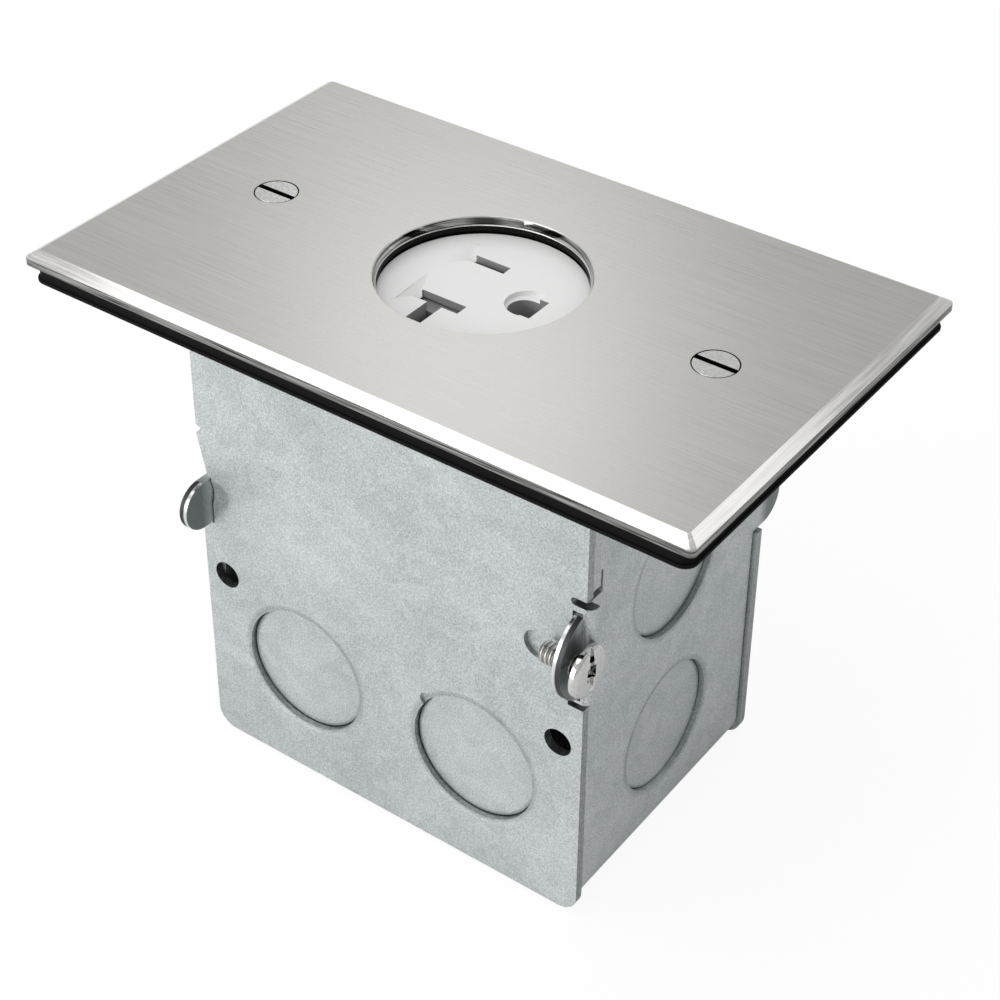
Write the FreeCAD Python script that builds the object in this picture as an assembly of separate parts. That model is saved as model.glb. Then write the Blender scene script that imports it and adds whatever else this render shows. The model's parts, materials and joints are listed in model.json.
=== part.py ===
import FreeCAD, Part
import math
import os

# Floor socket box: a one-gang sheet-steel box under a bevelled floor cover with a single socket.
# Millimetres. Z is up, X runs along the cover's long side, and Y points to the rear side panel.
# The origin is the middle of the box's underside.

Vec = FreeCAD.Vector
X_AXIS = Vec(1, 0, 0)
Y_AXIS = Vec(0, 1, 0)
Z_AXIS = Vec(0, 0, 1)

# Sheet-steel box
box_depth = 88.9            # underside to rim
panel_outer_y = 26.3        # outside of the side panels
sheet = 1.6                 # steel thickness of body and panels
end_half = 37.5             # outside of the end walls
panel_edge = 0.6            # side panels beyond the end walls
floor_bend = 4.5            # outer bend radius between bottom and end walls
edge_gap = 0.3              # body edge to side panel
panel_corner = 3.5          # rounded lower corners of the side panels
panel_top_corner = 1.0

# Knockouts, with their discs pushed in a little
knockout_radius = 11.75
knockout_gap = 0.15
knockout_push = 1.0
panel_knockout_x = 17.5
panel_knockout_z = 22.6
end_knockout_low_z = 21.0
end_knockout_high_z = 54.0
bottom_knockout_x = 17.5
pry_notch_radius = 1.5
pry_notch_depth = 0.6
pry_notch_angle = 140.0     # degrees from +X round the disc

# Fixing holes through the side panels
fixing_hole_radius = 2.5
fixing_hole_inset = 4.4     # from the panel's edge
fixing_hole_z = 35.4

# Device ears at the box's top, whose screw spacing the strap and the cover share
screw_out = 4.17            # cover screws beyond the end walls' outside
ear_width = 14.0
ear_relief = 1.5            # cut each side of the ear
ear_bend = 1.0              # inner bend radius of the ear
ear_tip = 5.2               # ear and strap beyond the screw's centre
ear_corner = 3.0

# Screw ear and plain lug on the end walls, which pass through the side panels
clamp_out = 1.7             # screw's centre in front of the panel
clamp_z = 54.4
clamp_ear_radius = 8.3
clamp_ear_in = 2.6          # centre of the ear's round edge behind the panel's front
lug_radius = 4.4
lug_out = 6.1               # plain lug in front of the panel
lug_z = 50.2
slot_clear = 0.25           # panel slots round ear and lug

# Tongue of the side panel, bent round onto the end wall's outside
tongue_bottom = 45.3        # at the bend
tongue_foot = 44.2          # at the free edge
tongue_top = 64.0
tongue_slope_low = 54.7     # sloped shoulder between the wide and the narrow part
tongue_slope_high = 58.8
tongue_wide = 5.9           # from the panel's front to the wide part's free edge
tongue_narrow = 2.1
relief_height = 1.2         # slot below the tongue
relief_radius = 0.7         # of the round-ended slot above it
relief_depth = 2.8
bend_round = 1.5
slit_in = 5.1               # slit in the end wall beside the tongue's top
slit_width = 0.5
slit_height = 4.2

# Pressed dimples and edge hook of the side panel
dimple_depth = 0.9
dimple_radius = 2.6
dimple_length = 6.25        # of its straight part, up to the end wall
dimple_z = 53.1
dent_radius = 2.6           # cone-shaped dent beside the plain lug
dent_floor = 0.5
dent_depth = 0.8
dent_inset = 3.7            # from the panel's edge
dent_rise = 1.6             # above the lug's centre
hook_z = 64.0
hook_half = 0.9
hook_depth = 1.2
edge_taper = 1.7            # how much the edge slopes in between hook and lug
edge_taper_top = 62.6

# Clamp screws
clamp_shank_radius = 1.75
clamp_head_radius = 4.35
clamp_head_height = 1.4
clamp_length = 7.5
clamp_slot_width = 1.2
clamp_slot_tilt = 26.0      # degrees from upright
clamp_recess_half = 1.15    # square recess in the slot's middle
clamp_recess_depth = 1.1
thread_clear = 0.05         # running clearance of every screw in its tapped hole

# Mounting strap
strap_thickness = 1.5
strap_end_width = 13.0
strap_middle_half = 29.0
strap_middle_width = 34.0
strap_slot_half = 0.8       # half of the straight part of the strap's screw slots
strap_corner = 2.5

# Cover gasket
gasket_thickness = 3.1
gasket_inset = 1.07         # from the plate's edge
gasket_corner = 1.8
gasket_lip_height = 0.7
gasket_lip = 0.4            # how far the lower lip stands out

# Cover plate
plate_length = 122.5
plate_width = 75.0
plate_thickness = 2.4
plate_corner = 1.0
bevel_inset = 1.8
bevel_drop = 1.15
opening_radius = 17.15
rim_chamfer = 0.15
ring_groove = 0.15          # depth and height of the groove between the bore's two rings
upper_ring_height = 1.15
ring_taper = 0.35           # how much the upper ring narrows
lower_ring_step = 0.1

# Cover screws
cover_head_radius = 3.5
cover_head_rim = 0.25
cover_head_cone = 1.8
cover_shank_radius = 1.7
cover_screw_length = 20.0
head_clear = 0.2
screw_slot_width = 0.95
screw_slot_depth = 0.9

# Pan heads, as shares of the head's height and radius
pan_rim = 0.6               # height of the upright rim
pan_shoulder = 0.88         # height where the slope eases
pan_edge = 0.9              # radius there
pan_crown = 0.5             # radius of the flat top
shank_tip = 0.3             # chamfer at a shank's end, as a share of the shank's radius

# Receptacle face
face_radius = 16.8
face_drop = 2.9             # below the cover's top
face_wall = 1.3
face_edge = 0.3             # chamfer round the rim
neck_radius = 14.2
neck_clear = 0.3
neck_depth = 2.1            # of the neck below the rim
blade_slot_x = -3.4
blade_slot_y = 6.35
blade_slot_length = 6.7
blade_slot_width = 2.0
tee_slot_x = -3.1
tee_slot_y = -6.9
tee_slot_length = 8.3
tee_slot_width = 2.4
tee_stem_x = -3.3
tee_stem_width = 2.8
tee_stem_end = -13.4
lead_in_depth = 1.2
blade_lead_in = [(-6.7, 5.2), (-6.7, 7.3), (-8.5, 10.6), (-9.8, 9.4), (-9.8, 2.3)]
tee_lead_in = [(-7.2, -7.8), (-7.2, -6.1), (-9.7, -1.2), (-9.3, -10.5)]
earth_hole_x = 7.85
earth_hole_radius = 2.7
earth_lip_x = 8.0
earth_lip_y = 0.65
earth_lip_radius = 3.65
earth_lip_end = 8.8
earth_lip_depth = 0.8

# Shutter under the face: it slides along +Y to free both blade slots
shutter_x0 = -7.8
shutter_x1 = 1.6
shutter_y0 = -8.2
shutter_y1 = 7.6
shutter_window_y0 = 2.55
shutter_window_y1 = 4.95
shutter_window_edge = 0.8
shutter_thickness = 3.3
shutter_travel = 2.6
shutter_clear = 0.1

# Receptacle base
base_half_length = 25.8
base_half_width = 16.3
base_bottom = 62.0
base_corner = 4.0
base_floor = 3.0
base_edge = 1.2

# Contacts
leaf_thickness = 0.8
blade_thickness = 1.52
leaf_squeeze = 0.1          # gap left each side of a blade
leaf_length = 8.6
leaf_flare = 0.4            # how far a leaf's top bends outwards
leaf_flare_height = 2.0
contact_height = 20.0
pocket_clear = 0.5
stem_pocket_z = 70.0        # floor of the pocket under the T slot's stem
tail_width = 7.0
terminal_plate_height = 11.0
earth_sleeve_radius = 2.6
earth_sleeve_height = 13.0
earth_sleeve_split = 1.0    # width of the slit down its side
earth_tail_width = 5.0
tail_clear = 0.3

# Wiring terminals
terminal_screw_radius = 1.9
terminal_head_radius = 3.7
terminal_head_height = 1.9
terminal_length = 8.0
clamp_plate_size = 9.5
clamp_plate_thickness = 1.2
clamp_plate_corner = 1.0
terminal_gap = 0.3          # under the heads, for the wire
earth_screw_length = 5.0
earth_boss = 5.0            # half width of the strap's earth tab

# Screws that hold the receptacle's base to the strap
joint_screw_x = 22.0
joint_screw_radius = 1.4
joint_head_radius = 2.6
joint_head_height = 1.6
joint_screw_clear = 0.15

# Earth screw in the box's bottom
box_earth_x = -2.0
box_earth_y = 17.5
box_earth_radius = 2.0
box_earth_head = 4.3
box_earth_boss_radius = 6.0
box_earth_boss_rise = 1.6

# Levels and places that follow from the sizes above
rim_z = box_depth
gasket_top_z = rim_z + gasket_thickness
plate_top_z = gasket_top_z + plate_thickness
strap_bottom_z = rim_z - strap_thickness
face_top_z = plate_top_z - face_drop
panel_inner_y = panel_outer_y - sheet
body_half_width = panel_inner_y - edge_gap
end_inner = end_half - sheet
panel_half_length = end_half + panel_edge
screw_half_spacing = end_half + screw_out
strap_half_length = screw_half_spacing + ear_tip
tongue_outer_x = end_half + sheet
neck_bottom_z = rim_z - neck_depth
leaf_bottom_z = base_bottom + base_floor
clamp_y = panel_outer_y + clamp_out
fixing_hole_x = panel_half_length - fixing_hole_inset


def block(x0, x1, y0, y1, z0, z1):
    """Box between two corners."""
    return Part.makeBox(x1 - x0, y1 - y0, z1 - z0, Vec(x0, y0, z0))


def rod(radius, start, axis, length):
    """Round bar from a start point along an axis."""
    return Part.makeCylinder(radius, length, start, axis)


def prism(points, sweep):
    """Straight-sided outline swept along a vector."""
    return Part.Face(Part.makePolygon(points + points[:1])).extrude(sweep)


def rounded_wire(length, width, radius, z):
    """Rectangle with round corners, centred on the Z axis."""
    edges = []
    ends = []
    for turn, (sx, sy) in enumerate([(1, 1), (-1, 1), (-1, -1), (1, -1)]):
        centre = Vec(sx * (length / 2 - radius), sy * (width / 2 - radius), z)
        angles = [math.radians(90 * turn + step) for step in (0, 45, 90)]
        arc = [centre + Vec(radius * math.cos(a), radius * math.sin(a), 0) for a in angles]
        edges.append(Part.Arc(*arc).toShape())
        ends.append((arc[0], arc[2]))
    sides = [Part.makeLine(ends[i][1], ends[(i + 1) % 4][0]) for i in range(4)]
    ordered = [edge for pair in zip(edges, sides) for edge in pair]
    return Part.Wire(ordered)


def rounded_plate(length, width, radius, z, thickness):
    """Flat plate with round corners."""
    return Part.Face(rounded_wire(length, width, radius, z)).extrude(Vec(0, 0, thickness))


def round_edges(shape, radius, chosen):
    """Round the straight edges that the test picks, given their ends."""
    edges = []
    for edge in shape.Edges:
        if len(edge.Vertexes) == 2 and chosen(edge.Vertexes[0].Point, edge.Vertexes[1].Point):
            edges.append(edge)
    return shape.makeFillet(radius, edges)


def upright(a, b):
    """True for an edge that runs along Z."""
    return abs(a.x - b.x) < 1e-6 and abs(a.y - b.y) < 1e-6


def half_turn(shape):
    """Copy turned 180 degrees about Z."""
    turned = shape.copy()
    turned.rotate(Vec(0, 0, 0), Z_AXIS, 180)
    return turned


def aimed(shape, point, axis):
    """Piece made along +Z, turned to an axis and moved to a point."""
    piece = shape.copy()
    piece.Placement = FreeCAD.Placement(point, FreeCAD.Rotation(Z_AXIS, axis))
    return piece


def turned_piece(profile):
    """Closed half outline of (radius, height) turned about Z."""
    points = [Vec(r, 0, z) for r, z in profile]
    face = Part.Face(Part.makePolygon(points + points[:1]))
    return face.revolve(Vec(0, 0, 0), Z_AXIS, 360)


def obround(radius, start, end, axis, depth):
    """Slot-shaped bar between two round ends."""
    first = rod(radius, start, axis, depth)
    second = rod(radius, end, axis, depth)
    along = end - start
    side = along.cross(axis)
    side.normalize()
    side = side * radius
    middle = prism([start + side, end + side, end - side, start - side], axis * depth)
    return first.fuse([second, middle]).removeSplitter()


def pan_screw(head_radius, head_height, shank_radius, length, slot_width):
    """Slotted pan-head screw: underside of the head at z = 0, shank downwards."""
    tip = shank_radius * shank_tip
    screw = turned_piece([(0, head_height), (head_radius * pan_crown, head_height),
                          (head_radius * pan_edge, head_height * pan_shoulder),
                          (head_radius, head_height * pan_rim), (head_radius, 0),
                          (shank_radius, 0), (shank_radius, -length + tip),
                          (shank_radius - tip, -length), (0, -length)])
    slot = block(-head_radius - 1, head_radius + 1, -slot_width / 2, slot_width / 2,
                 head_height - screw_slot_depth, head_height + 1)
    return screw.cut(slot)


def cover_screw(side):
    """Flat-head cover screw in its countersink, with its slot along X."""
    top = plate_top_z
    neck = top - cover_head_rim - cover_head_cone
    tip = cover_shank_radius * shank_tip
    screw = turned_piece([(0, top), (cover_head_radius, top),
                          (cover_head_radius, top - cover_head_rim),
                          (cover_shank_radius, neck),
                          (cover_shank_radius, top - cover_screw_length + tip),
                          (cover_shank_radius - tip, top - cover_screw_length),
                          (0, top - cover_screw_length)])
    slot = block(-cover_head_radius - 1, cover_head_radius + 1, -screw_slot_width / 2,
                 screw_slot_width / 2, top - screw_slot_depth, top + 1)
    screw = screw.cut(slot)
    screw.translate(Vec(side * screw_half_spacing, 0, 0))
    return screw


def cover_plate():
    """Bevelled plate with the stepped round opening and two countersinks."""
    foot_z = plate_top_z - bevel_drop
    edge = rounded_plate(plate_length, plate_width, plate_corner, gasket_top_z,
                         plate_thickness - bevel_drop)
    foot = rounded_wire(plate_length, plate_width, plate_corner, foot_z)
    top = rounded_wire(plate_length - 2 * bevel_inset, plate_width - 2 * bevel_inset,
                       plate_corner / 2, plate_top_z)
    plate = edge.fuse(Part.makeLoft([foot, top], True, True)).removeSplitter()
    ring = opening_radius - rim_chamfer
    groove_top = plate_top_z - rim_chamfer - upper_ring_height
    ring_foot = ring - ring_taper
    low_ring = ring_foot - lower_ring_step
    opening = turned_piece([(0, plate_top_z + 1), (opening_radius, plate_top_z + 1),
                            (opening_radius, plate_top_z), (ring, plate_top_z - rim_chamfer),
                            (ring_foot, groove_top),
                            (ring_foot + ring_groove, groove_top - ring_groove / 2),
                            (low_ring, groove_top - ring_groove), (low_ring, gasket_top_z - 1),
                            (0, gasket_top_z - 1)])
    plate = plate.cut(opening)
    head = cover_head_radius + head_clear
    shank = cover_shank_radius + head_clear
    top_z = plate_top_z
    sink = turned_piece([(0, top_z + 1), (head, top_z + 1), (head, top_z - cover_head_rim),
                         (shank, top_z - cover_head_rim - cover_head_cone),
                         (shank, gasket_top_z - 1), (0, gasket_top_z - 1)])
    for side in (-1, 1):
        hole = sink.copy()
        hole.translate(Vec(side * screw_half_spacing, 0, 0))
        plate = plate.cut(hole)
    return plate


def cover_gasket():
    """Rubber gasket under the plate, with a thin lip at its lower edge."""
    length = plate_length - 2 * gasket_inset
    width = plate_width - 2 * gasket_inset
    gasket = rounded_plate(length, width, gasket_corner, rim_z, gasket_thickness)
    lip = rounded_plate(length + 2 * gasket_lip, width + 2 * gasket_lip, gasket_corner + gasket_lip,
                        rim_z, gasket_lip_height)
    gasket = gasket.fuse(lip).removeSplitter()
    gasket = gasket.cut(rod(opening_radius, Vec(0, 0, rim_z - 1), Z_AXIS, gasket_thickness + 2))
    for side in (-1, 1):
        hole_base = Vec(side * screw_half_spacing, 0, rim_z - 1)
        hole = rod(cover_shank_radius + 2 * head_clear, hole_base, Z_AXIS, gasket_thickness + 2)
        gasket = gasket.cut(hole)
    return gasket


def lead_in(corners):
    """Sloped lead-in facet: deepest at the blade slot's end, level with the face at its far edge."""
    top = face_top_z
    x_near = max(x for x, y in corners)
    x_far = min(x for x, y in corners)
    wedge = prism([Vec(x_far, -face_radius, top), Vec(x_near, -face_radius, top - lead_in_depth),
                   Vec(x_near, -face_radius, top + lead_in_depth),
                   Vec(x_far, -face_radius, top + lead_in_depth)],
                  Vec(0, 2 * face_radius, 0))
    outline = prism([Vec(x, y, top - lead_in_depth) for x, y in corners],
                    Vec(0, 0, 2 * lead_in_depth))
    return wedge.common(outline)


def receptacle_face():
    """Round face with its slots and lead-ins, and a short neck with the shutter's cavity."""
    top = face_top_z
    under = top - face_wall
    disc = rod(face_radius, Vec(0, 0, rim_z), Z_AXIS, top - rim_z)
    rim_edge = [edge for edge in disc.Edges if abs(edge.CenterOfMass.z - top) < 1e-6]
    disc = disc.makeChamfer(face_edge, rim_edge)
    neck = rod(neck_radius, Vec(0, 0, neck_bottom_z), Z_AXIS, neck_depth)
    face = disc.fuse(neck)
    low = neck_bottom_z - 1
    blade = block(blade_slot_x - blade_slot_length / 2, blade_slot_x + blade_slot_length / 2,
                  blade_slot_y - blade_slot_width / 2, blade_slot_y + blade_slot_width / 2,
                  low, top + 1)
    tee = block(tee_slot_x - tee_slot_length / 2, tee_slot_x + tee_slot_length / 2,
                tee_slot_y - tee_slot_width / 2, tee_slot_y + tee_slot_width / 2, low, top + 1)
    stem = block(tee_stem_x - tee_stem_width / 2, tee_stem_x + tee_stem_width / 2, tee_stem_end,
                 tee_slot_y, low, top + 1)
    cavity = block(shutter_x0 - 2 * shutter_clear, shutter_x1 + 2 * shutter_clear,
                   shutter_y0 - 2 * shutter_clear, shutter_y1 + shutter_travel + 2 * shutter_clear,
                   low, under)
    hole = earth_outline(earth_hole_radius, low, top + 1)
    lip = rod(earth_lip_radius, Vec(earth_lip_x, earth_lip_y, top - earth_lip_depth), Z_AXIS, 2)
    lip = lip.common(block(0, earth_lip_end, -face_radius, face_radius, 0, top + 2))
    face = face.cut([blade, tee, stem, cavity, hole, lip])
    return face.cut([lead_in(blade_lead_in), lead_in(tee_lead_in)]).removeSplitter()


def shutter():
    """Sliding plate that closes both blade slots, with one window for the plain slot's blade."""
    z0 = neck_bottom_z - neck_clear + shutter_clear
    z1 = z0 + shutter_thickness
    plate = block(shutter_x0, shutter_x1, shutter_y0, shutter_y1, z0, z1)
    return plate.cut(block(shutter_x0 + shutter_window_edge, shutter_x1 - shutter_window_edge,
                           shutter_window_y0, shutter_window_y1, z0 - 1, z1 + 1))


def earth_outline(radius, z0, z1):
    """D-shaped bar: round towards the blade slots, flat at the other side."""
    round_part = rod(radius, Vec(earth_hole_x, 0, z0), Z_AXIS, z1 - z0)
    round_part = round_part.common(block(earth_hole_x - radius, earth_hole_x, -radius, radius, z0, z1))
    flat_part = block(earth_hole_x, earth_hole_x + radius, -radius, radius, z0, z1)
    return round_part.fuse(flat_part).removeSplitter()


def receptacle_base():
    """Moulded base under the strap, with a round well for the face and pockets for the contacts."""
    base = block(-base_half_length, base_half_length, -base_half_width, base_half_width,
                 base_bottom, strap_bottom_z)
    base = round_edges(base, base_corner, upright)
    lower = [edge for edge in base.Edges if edge.BoundBox.ZMax < base_bottom + 1e-6]
    base = base.makeChamfer(base_edge, lower)
    well = rod(neck_radius + neck_clear, Vec(0, 0, neck_bottom_z - neck_clear), Z_AXIS, box_depth)
    base = base.cut(well)
    half = blade_thickness / 2 + leaf_squeeze + leaf_thickness + pocket_clear
    reach = leaf_length / 2 + pocket_clear
    for side in (-1, 1):
        pocket = block(blade_slot_x - reach, blade_slot_x + reach, side * blade_slot_y - half,
                       side * blade_slot_y + half, leaf_bottom_z, strap_bottom_z)
        passage = block(blade_slot_x - tail_width / 2 - tail_clear,
                        blade_slot_x + tail_width / 2 + tail_clear,
                        min(side * blade_slot_y, side * (base_half_width + 1)),
                        max(side * blade_slot_y, side * (base_half_width + 1)),
                        leaf_bottom_z, leaf_bottom_z + leaf_thickness + tail_clear)
        bore_start = Vec(blade_slot_x, side * (base_half_width - terminal_length), terminal_z())
        bore = rod(terminal_screw_radius + tail_clear, bore_start, Y_AXIS * side, terminal_length + 1)
        base = base.cut([pocket, passage, bore])
    stem = block(tee_stem_x - tee_stem_width / 2 - pocket_clear,
                 tee_stem_x + tee_stem_width / 2 + pocket_clear, tee_stem_end - pocket_clear,
                 tee_slot_y, stem_pocket_z, strap_bottom_z)
    base = base.cut(stem)
    sleeve = earth_sleeve_radius + leaf_thickness + pocket_clear
    socket = rod(sleeve, Vec(earth_hole_x, 0, leaf_bottom_z), Z_AXIS, strap_bottom_z - leaf_bottom_z)
    tail = block(earth_hole_x, base_half_length + 1, -earth_tail_width / 2 - tail_clear,
                 earth_tail_width / 2 + tail_clear, leaf_bottom_z,
                 leaf_bottom_z + leaf_thickness + tail_clear)
    base = base.cut([socket, tail])
    earth_bore = rod(terminal_screw_radius + tail_clear,
                     Vec(earth_tab_x(), base_half_width - earth_screw_length, earth_tab_z()), Y_AXIS,
                     earth_screw_length + 1)
    base = base.cut(earth_bore)
    for side in (-1, 1):
        start = Vec(side * joint_screw_x, 0, base_bottom - 1)
        base = base.cut(rod(joint_screw_radius + joint_screw_clear, start, Z_AXIS, box_depth))
    return base.removeSplitter()


def terminal_z():
    """Height of the side terminals."""
    return leaf_bottom_z + leaf_thickness + terminal_plate_height / 2


def mounting_strap():
    """Steel strap on the box's ears, wide in the middle and narrow at its slotted ends."""
    wide = rounded_plate(2 * strap_middle_half, strap_middle_width, strap_corner, strap_bottom_z,
                         strap_thickness)
    narrow = rounded_plate(2 * strap_half_length, strap_end_width, strap_corner, strap_bottom_z,
                           strap_thickness)
    strap = wide.fuse(narrow).removeSplitter()
    strap = strap.cut(rod(neck_radius + neck_clear, Vec(0, 0, strap_bottom_z - 1), Z_AXIS, 4))
    for side in (-1, 1):
        middle = side * screw_half_spacing
        slot = obround(cover_shank_radius + head_clear,
                       Vec(middle - strap_slot_half, 0, strap_bottom_z - 1),
                       Vec(middle + strap_slot_half, 0, strap_bottom_z - 1), Z_AXIS, 4)
        tapped = rod(joint_screw_radius + joint_screw_clear,
                     Vec(side * joint_screw_x, 0, strap_bottom_z - 1), Z_AXIS, 4)
        strap = strap.cut([slot, tapped])
    return strap.fuse(earth_terminal_tab()).removeSplitter()


def earth_terminal_tab():
    """Tab bent down from the strap's edge, tapped for the earth screw."""
    x_mid = earth_tab_x()
    inner_y = base_half_width + tail_clear
    tab = block(x_mid - earth_boss, x_mid + earth_boss, inner_y, inner_y + strap_thickness,
                earth_tab_z() - earth_boss, rim_z)
    hole = rod(terminal_screw_radius + thread_clear, Vec(x_mid, inner_y - 1, earth_tab_z()), Y_AXIS, 5)
    return tab.cut(hole)


def earth_tab_x():
    """Place of the earth tab beside the base's corner."""
    return -(base_half_length - base_corner - earth_boss)


def earth_tab_z():
    """Height of the earth screw."""
    return strap_bottom_z - 2 * earth_boss


def blade_contact(side):
    """Pair of spring leaves for one blade, with a tail to the terminal plate at the base's side."""
    half_gap = blade_thickness / 2 + leaf_squeeze
    y_mid = side * blade_slot_y
    x0 = blade_slot_x - leaf_length / 2
    x1 = blade_slot_x + leaf_length / 2
    z0 = leaf_bottom_z
    pieces = []
    for leaf in (-1, 1):
        inner = y_mid + leaf * half_gap
        outer = inner + leaf * leaf_thickness
        flare = outer + leaf * leaf_flare
        top = z0 + contact_height
        bend = top - leaf_flare_height
        outline = [Vec(x0, inner, z0), Vec(x0, inner, bend), Vec(x0, inner + leaf * leaf_flare, top),
                   Vec(x0, flare, top), Vec(x0, outer, bend), Vec(x0, outer, z0)]
        pieces.append(prism(outline, Vec(x1 - x0, 0, 0)))
    link = block(x0, x1, y_mid - half_gap, y_mid + half_gap, z0, z0 + leaf_thickness)
    tail_end = side * (base_half_width + tail_clear + leaf_thickness)
    tail = block(blade_slot_x - tail_width / 2, blade_slot_x + tail_width / 2, min(y_mid, tail_end),
                 max(y_mid, tail_end), z0, z0 + leaf_thickness)
    plate = terminal_plate(side)
    return pieces[0].fuse([pieces[1], link, tail, plate]).removeSplitter()


def terminal_plate(side):
    """Upright plate outside the base, tapped for the terminal screw."""
    near = side * (base_half_width + tail_clear)
    far = near + side * leaf_thickness
    plate = block(blade_slot_x - clamp_plate_size / 2, blade_slot_x + clamp_plate_size / 2,
                  min(near, far), max(near, far), leaf_bottom_z,
                  leaf_bottom_z + leaf_thickness + terminal_plate_height)
    hole = rod(terminal_screw_radius + thread_clear,
               Vec(blade_slot_x, near - side, terminal_z()), Y_AXIS * side, 4)
    return plate.cut(hole)


def clamp_plate(side):
    """Square pressure plate between the terminal plate and the screw's head."""
    near = side * (base_half_width + tail_clear + leaf_thickness + terminal_gap)
    far = near + side * clamp_plate_thickness
    half = clamp_plate_size / 2
    plate = block(blade_slot_x - half, blade_slot_x + half, min(near, far), max(near, far),
                  terminal_z() - half, terminal_z() + half)
    plate = round_edges(plate, clamp_plate_corner, lambda a, b: abs(a.x - b.x) < 1e-6
                        and abs(a.z - b.z) < 1e-6)
    hole = rod(terminal_screw_radius + tail_clear, Vec(blade_slot_x, near - side, terminal_z()),
               Y_AXIS * side, 4)
    return plate.cut(hole)


def terminal_screw(side):
    """Binding-head screw that presses the clamp plate."""
    seat = base_half_width + tail_clear + leaf_thickness + terminal_gap + clamp_plate_thickness
    seat = seat + tail_clear
    screw = pan_screw(terminal_head_radius, terminal_head_height, terminal_screw_radius,
                      terminal_length, screw_slot_width)
    return aimed(screw, Vec(blade_slot_x, side * seat, terminal_z()), Y_AXIS * side)


def ground_contact():
    """Split sleeve for the earth pin, with a tail up to the strap's underside."""
    z0 = leaf_bottom_z
    outer = earth_sleeve_radius + leaf_thickness
    sleeve = rod(outer, Vec(earth_hole_x, 0, z0), Z_AXIS, earth_sleeve_height)
    sleeve = sleeve.cut(rod(earth_sleeve_radius, Vec(earth_hole_x, 0, z0 + leaf_thickness), Z_AXIS,
                            earth_sleeve_height))
    half = earth_sleeve_split / 2
    sleeve = sleeve.cut(block(earth_hole_x - outer - 1, earth_hole_x, -half, half,
                              z0 + leaf_thickness, z0 + earth_sleeve_height + 1))
    upright_x = base_half_length + tail_clear
    tail = block(earth_hole_x, upright_x, -earth_tail_width / 2, earth_tail_width / 2, z0,
                 z0 + leaf_thickness)
    riser = block(upright_x, upright_x + leaf_thickness, -earth_tail_width / 2,
                  earth_tail_width / 2, z0, strap_bottom_z)
    sleeve = sleeve.fuse([tail, riser])
    inside = rod(earth_sleeve_radius, Vec(earth_hole_x, 0, z0 + leaf_thickness), Z_AXIS, box_depth)
    screw_way = rod(joint_screw_radius + joint_screw_clear, Vec(joint_screw_x, 0, z0 - 1), Z_AXIS, 4)
    return sleeve.cut(inside).cut(screw_way).removeSplitter()


def earth_terminal_screw():
    """Earth screw in the strap's tab."""
    screw = pan_screw(terminal_head_radius, terminal_head_height, terminal_screw_radius,
                      earth_screw_length, screw_slot_width)
    seat = base_half_width + tail_clear + strap_thickness + terminal_gap
    return aimed(screw, Vec(earth_tab_x(), seat, earth_tab_z()), Y_AXIS)


def receptacle_screws():
    """Two long screws from the base's underside up into the strap."""
    length = strap_bottom_z + strap_thickness - base_bottom
    screw = pan_screw(joint_head_radius, joint_head_height, joint_screw_radius, length,
                      screw_slot_width)
    pair = []
    for side in (-1, 1):
        pair.append(aimed(screw, Vec(side * joint_screw_x, 0, base_bottom), Vec(0, 0, -1)))
    return Part.makeCompound(pair)


def u_outline(half_length, top, bend, floor):
    """Closed outline of the bent sheet's outside or inside, in the XZ plane."""
    corner = bend * (1 - math.cos(math.radians(45)))
    left_top = Vec(-half_length, 0, top)
    left_bend = Vec(-half_length, 0, floor + bend)
    left_mid = Vec(-half_length + corner, 0, floor + corner)
    left_floor = Vec(-half_length + bend, 0, floor)
    mirror = [Vec(-p.x, 0, p.z) for p in (left_floor, left_mid, left_bend, left_top)]
    edges = [Part.makeLine(left_top, left_bend),
             Part.Arc(left_bend, left_mid, left_floor).toShape(),
             Part.makeLine(left_floor, mirror[0]),
             Part.Arc(mirror[0], mirror[1], mirror[2]).toShape(),
             Part.makeLine(mirror[2], mirror[3]),
             Part.makeLine(mirror[3], left_top)]
    return Part.Face(Part.Wire(edges))


def device_ear():
    """Ear turned outwards at the top of the +X end wall, tapped for the cover screw."""
    half = ear_width / 2
    centre_x = end_half + ear_bend
    centre_z = strap_bottom_z - sheet - ear_bend
    start = Vec(centre_x, -half, centre_z)
    bend = rod(ear_bend + sheet, start, Y_AXIS, ear_width).cut(rod(ear_bend, start, Y_AXIS, ear_width))
    reach = ear_bend + sheet
    bend = bend.common(block(centre_x - reach, centre_x, -half, half, centre_z, centre_z + reach))
    tip_x = strap_half_length
    flat = block(centre_x, tip_x, -half, half, strap_bottom_z - sheet, strap_bottom_z)
    flat = round_edges(flat, ear_corner, lambda a, b: upright(a, b) and abs(a.x - tip_x) < 1e-6)
    hole = rod(cover_shank_radius + thread_clear,
               Vec(screw_half_spacing, 0, strap_bottom_z - 2 * sheet), Z_AXIS, 3 * sheet)
    return bend.fuse(flat).cut(hole)


def clamp_ear():
    """Round ear of the +X end wall that passes through the front panel, tapped for its screw."""
    ear = rod(clamp_ear_radius, Vec(end_inner, -(panel_outer_y - clamp_ear_in), clamp_z), X_AXIS, sheet)
    hole = rod(clamp_shank_radius + thread_clear, Vec(end_inner - 1, -clamp_y, clamp_z), X_AXIS, 4)
    return ear.cut(hole)


def plain_lug():
    """Round lug of the -X end wall that hooks through the front panel."""
    centre_y = -(panel_outer_y + lug_out - lug_radius)
    lug = rod(lug_radius, Vec(-end_half, centre_y, lug_z), X_AXIS, sheet)
    root = block(-end_half, -end_inner, centre_y, -body_half_width + 1, lug_z - lug_radius,
                 lug_z + lug_radius)
    return lug.fuse(root).removeSplitter()


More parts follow.
